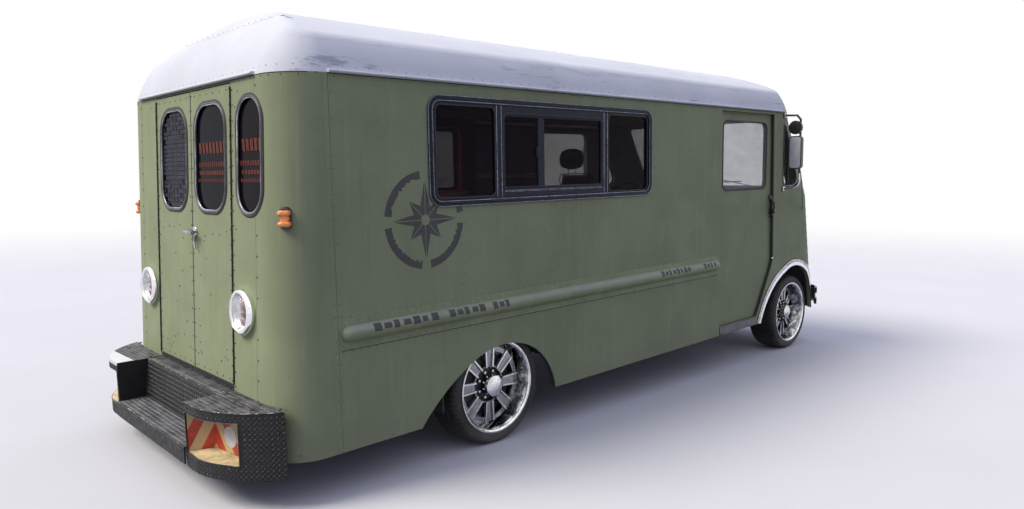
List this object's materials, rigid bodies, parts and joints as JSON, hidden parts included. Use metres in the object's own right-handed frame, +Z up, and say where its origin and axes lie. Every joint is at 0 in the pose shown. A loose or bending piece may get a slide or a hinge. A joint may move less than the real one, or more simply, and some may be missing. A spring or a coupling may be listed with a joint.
{
  "type": "walk-in step van food truck",
  "caption": "Walk-in step van turned food truck: rounded metal body, hinged rear doors, sliding cab doors, side window, rear step bumper, steered front wheels.",
  "frame": {"origin": "on the floor, at the middle of the bounding box seen from above", "axes": "+X forward, +Y to the van's left, +Z up"},
  "size_m": [6.3154, 2.626, 2.7293],
  "materials": {
    "olive_paint": "satin",
    "white_paint": "satin",
    "black_steel": "rough",
    "black_frame": "satin",
    "tread_plate": "chequered",
    "floor_metal": "brushed",
    "chrome": "polished",
    "glass": "tinted",
    "tyre": "matte",
    "amber": "gloss",
    "black_plastic": "matte",
    "seat_vinyl": "satin",
    "iron": "matte",
    "wood": "satin"
  },
  "bodies": {
    "van": {"arch_trims": "chrome", "bulkhead": "floor_metal", "cab_side_left": "olive_paint", "cab_side_right": "olive_paint", "chassis_frame": "black_steel", "corner_panel_left": "olive_paint", "corner_panel_right": "olive_paint", "dashboard": "black_plastic", "drive_shaft": "iron", "engine_block": "iron", "exhaust": "iron", "floor": "floor_metal", "front_axle": "iron", "front_bumper": "black_steel", "fuel_tank": "black_steel", "galley": "wood", "grille": "chrome", "headlamps": "chrome", "leaf_springs": "iron", "mirrors": "black_plastic", "nose_panel": "olive_paint", "rear_axle": "iron", "rear_bumper_step": "tread_plate", "rear_bumper_towers": "black_steel", "rear_frame": "olive_paint", "rear_lamps": "chrome", "roof_front_cap": "white_paint", "roof_middle": "white_paint", "roof_rear_cap": "white_paint", "rub_rails": "olive_paint", "seat_base": "black_steel", "seat_cushions": "seat_vinyl", "side_glass": "glass", "side_markers": "amber", "side_wall_left": "olive_paint", "side_wall_right": "olive_paint", "side_window_frames": "black_frame", "steering_wheel": "black_plastic", "step_wells": "tread_plate", "wheel_boxes": "floor_metal", "windscreen_frame": "olive_paint", "windscreen_glass": "glass"},
    "rear_door_right": {"rear_door_right": "olive_paint", "rear_door_glass_right": "glass"},
    "rear_door_left": {"rear_door_left": "olive_paint", "rear_door_glass_left": "glass"},
    "sliding_door_right": {"sliding_door_right": "olive_paint", "sliding_door_glass_right": "glass"},
    "sliding_door_left": {"sliding_door_left": "olive_paint", "sliding_door_glass_left": "glass"},
    "knuckle_right": {"knuckle_right": "iron"},
    "knuckle_left": {"knuckle_left": "iron"},
    "wheel_front_right": {"tyre_front_right": "tyre", "wheel_front_right": "chrome"},
    "wheel_front_left": {"tyre_front_left": "tyre", "wheel_front_left": "chrome"},
    "wheel_rear_right": {"tyre_rear_right": "tyre", "wheel_rear_right": "chrome"},
    "wheel_rear_left": {"tyre_rear_left": "tyre", "wheel_rear_left": "chrome"}
  },
  "joints": [
    {"name": "rear_door_right", "type": "hinge", "parent": "van", "child": "rear_door_right", "pos_m": [-2.86825, -0.556, 1.30089], "axis": [0.0207, 0, 0.9998], "range_deg": [0, 90]},
    {"name": "sliding_door_right", "type": "slide", "parent": "van", "child": "sliding_door_right", "axis": [-0.9997, 0, -0.0243], "range_m": [0, 0.85]},
    {"name": "steer_right", "type": "hinge", "parent": "van", "child": "knuckle_right", "pos_m": [2.5078, -0.925, 0.362], "axis": [0, 0, 1], "range_deg": [-30, 30]},
    {"name": "roll_front_right", "type": "hinge", "parent": "knuckle_right", "child": "wheel_front_right", "pos_m": [2.5078, -0.959, 0.362], "axis": [0, 1, 0], "continuous": true},
    {"name": "roll_rear_right", "type": "hinge", "parent": "van", "child": "wheel_rear_right", "pos_m": [-1.43319, -0.959, 0.362], "axis": [0, 1, 0], "continuous": true},
    {"name": "rear_door_left", "type": "hinge", "parent": "van", "child": "rear_door_left", "pos_m": [-2.86825, 0.556, 1.30089], "axis": [-0.0207, 0, -0.9998], "range_deg": [0, 90]},
    {"name": "sliding_door_left", "type": "slide", "parent": "van", "child": "sliding_door_left", "axis": [-0.9997, 0, -0.0243], "range_m": [0, 0.85]},
    {"name": "steer_left", "type": "hinge", "parent": "van", "child": "knuckle_left", "pos_m": [2.5078, 0.925, 0.362], "axis": [0, 0, 1], "range_deg": [-30, 30]},
    {"name": "roll_front_left", "type": "hinge", "parent": "knuckle_left", "child": "wheel_front_left", "pos_m": [2.5078, 0.959, 0.362], "axis": [0, 1, 0], "continuous": true},
    {"name": "roll_rear_left", "type": "hinge", "parent": "van", "child": "wheel_rear_left", "pos_m": [-1.43319, 0.959, 0.362], "axis": [0, 1, 0], "continuous": true}
  ],
  "couplings": [
    {"joint": "steer_right", "follows": "steer_left", "ratio": 1}
  ]
}
